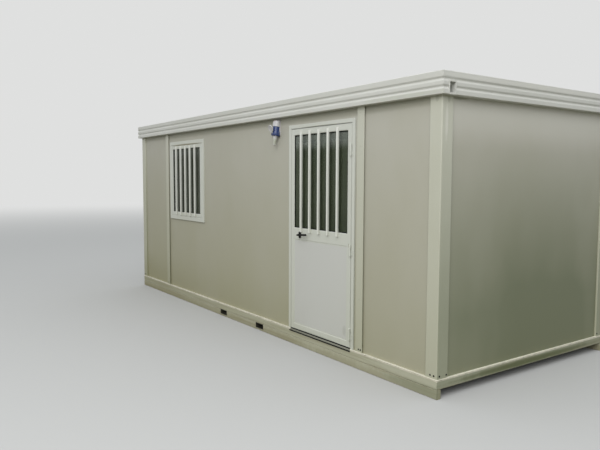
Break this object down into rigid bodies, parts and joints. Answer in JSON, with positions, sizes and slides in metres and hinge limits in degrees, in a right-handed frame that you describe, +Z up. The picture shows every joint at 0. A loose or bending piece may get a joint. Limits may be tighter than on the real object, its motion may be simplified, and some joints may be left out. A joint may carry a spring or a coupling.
{
  "type": "portable site cabin",
  "caption": "Flat-roofed portable cabin with panel walls, a grooved roof fascia, a barred window, a barred door that opens outwards and fork pockets.",
  "frame": {"origin": "on the ground under the middle of the cabin's body", "axes": "+X along the long side, towards the end with the door; -Y out of the side with door and window; +Z up"},
  "size_m": [6.096, 2.4899, 2.44],
  "materials": {
    "frame_paint": "cream coil-coated steel, satin, with rain streaks and soil splashes",
    "fascia_paint": "cream coil-coated steel, satin, weathered",
    "wall_paint": "greige coil-coated steel skin of a sandwich panel, satin",
    "white_paint": "white powder coat, satin",
    "leaf_paint": "cool white sheet, satin, scuffed low down",
    "ceiling_paint": "white coil-coated steel, satin",
    "galvanised_steel": "dull galvanised",
    "threshold_aluminium": "dull mill finish, scratched",
    "floor_board": "sealed plywood",
    "window_glass": "clear glass over a dark room",
    "black_plastic": "black moulded plastic over steel",
    "grey_plastic": "pale grey moulded plastic",
    "blue_plastic": "blue moulded plastic"
  },
  "bodies": {
    "cabin": {"front_skid": "frame_paint", "rear_skid": "frame_paint", "fork_pockets": "galvanised_steel", "front_base_rail": "frame_paint", "right_base_rail": "frame_paint", "rear_base_rail": "frame_paint", "left_base_rail": "frame_paint", "floor_joists": "galvanised_steel", "floor_board": "floor_board", "post_front_right": "frame_paint", "post_rear_right": "frame_paint", "post_rear_left": "frame_paint", "post_front_left": "frame_paint", "front_wall_left": "wall_paint", "front_wall_window": "wall_paint", "front_wall_middle": "wall_paint", "front_wall_over_door": "wall_paint", "front_wall_right": "wall_paint", "right_wall": "wall_paint", "rear_wall": "wall_paint", "left_wall": "wall_paint", "front_strips": "frame_paint", "rear_strips": "frame_paint", "front_fascia": "fascia_paint", "right_fascia": "fascia_paint", "rear_fascia": "fascia_paint", "left_fascia": "fascia_paint", "roof_beams": "galvanised_steel", "roof_sheet": "galvanised_steel", "ceiling_panel": "ceiling_paint", "window_frame": "white_paint", "window_sash": "white_paint", "window_glass": "window_glass", "window_bars": "white_paint", "door_frame": "white_paint", "door_threshold": "threshold_aluminium", "frame_hinges": "white_paint", "inlet_housing": "grey_plastic", "inlet_collar": "blue_plastic", "inlet_lid": "grey_plastic", "inlet_entry": "grey_plastic"},
    "door": {"leaf_frame": "white_paint", "leaf_panel": "leaf_paint", "leaf_glass": "window_glass", "leaf_bars": "white_paint", "leaf_hinges": "white_paint", "lock_plates": "black_plastic"},
    "door_lever": {"lever_outer": "black_plastic", "lever_inner": "black_plastic"}
  },
  "joints": [
    {"name": "door_swing", "type": "hinge", "parent": "cabin", "child": "door", "pos_m": [1.9855, -1.185, 1.1], "axis": [0, 0, 1], "range_deg": [0, 110]},
    {"name": "lever_turn", "type": "hinge", "parent": "door", "child": "door_lever", "pos_m": [1.212, -1.175, 1.112], "axis": [0, 1, 0], "range_deg": [0, 35], "stiffness_Nm_per_rad": 1.5, "springref_deg": -22.92}
  ]
}
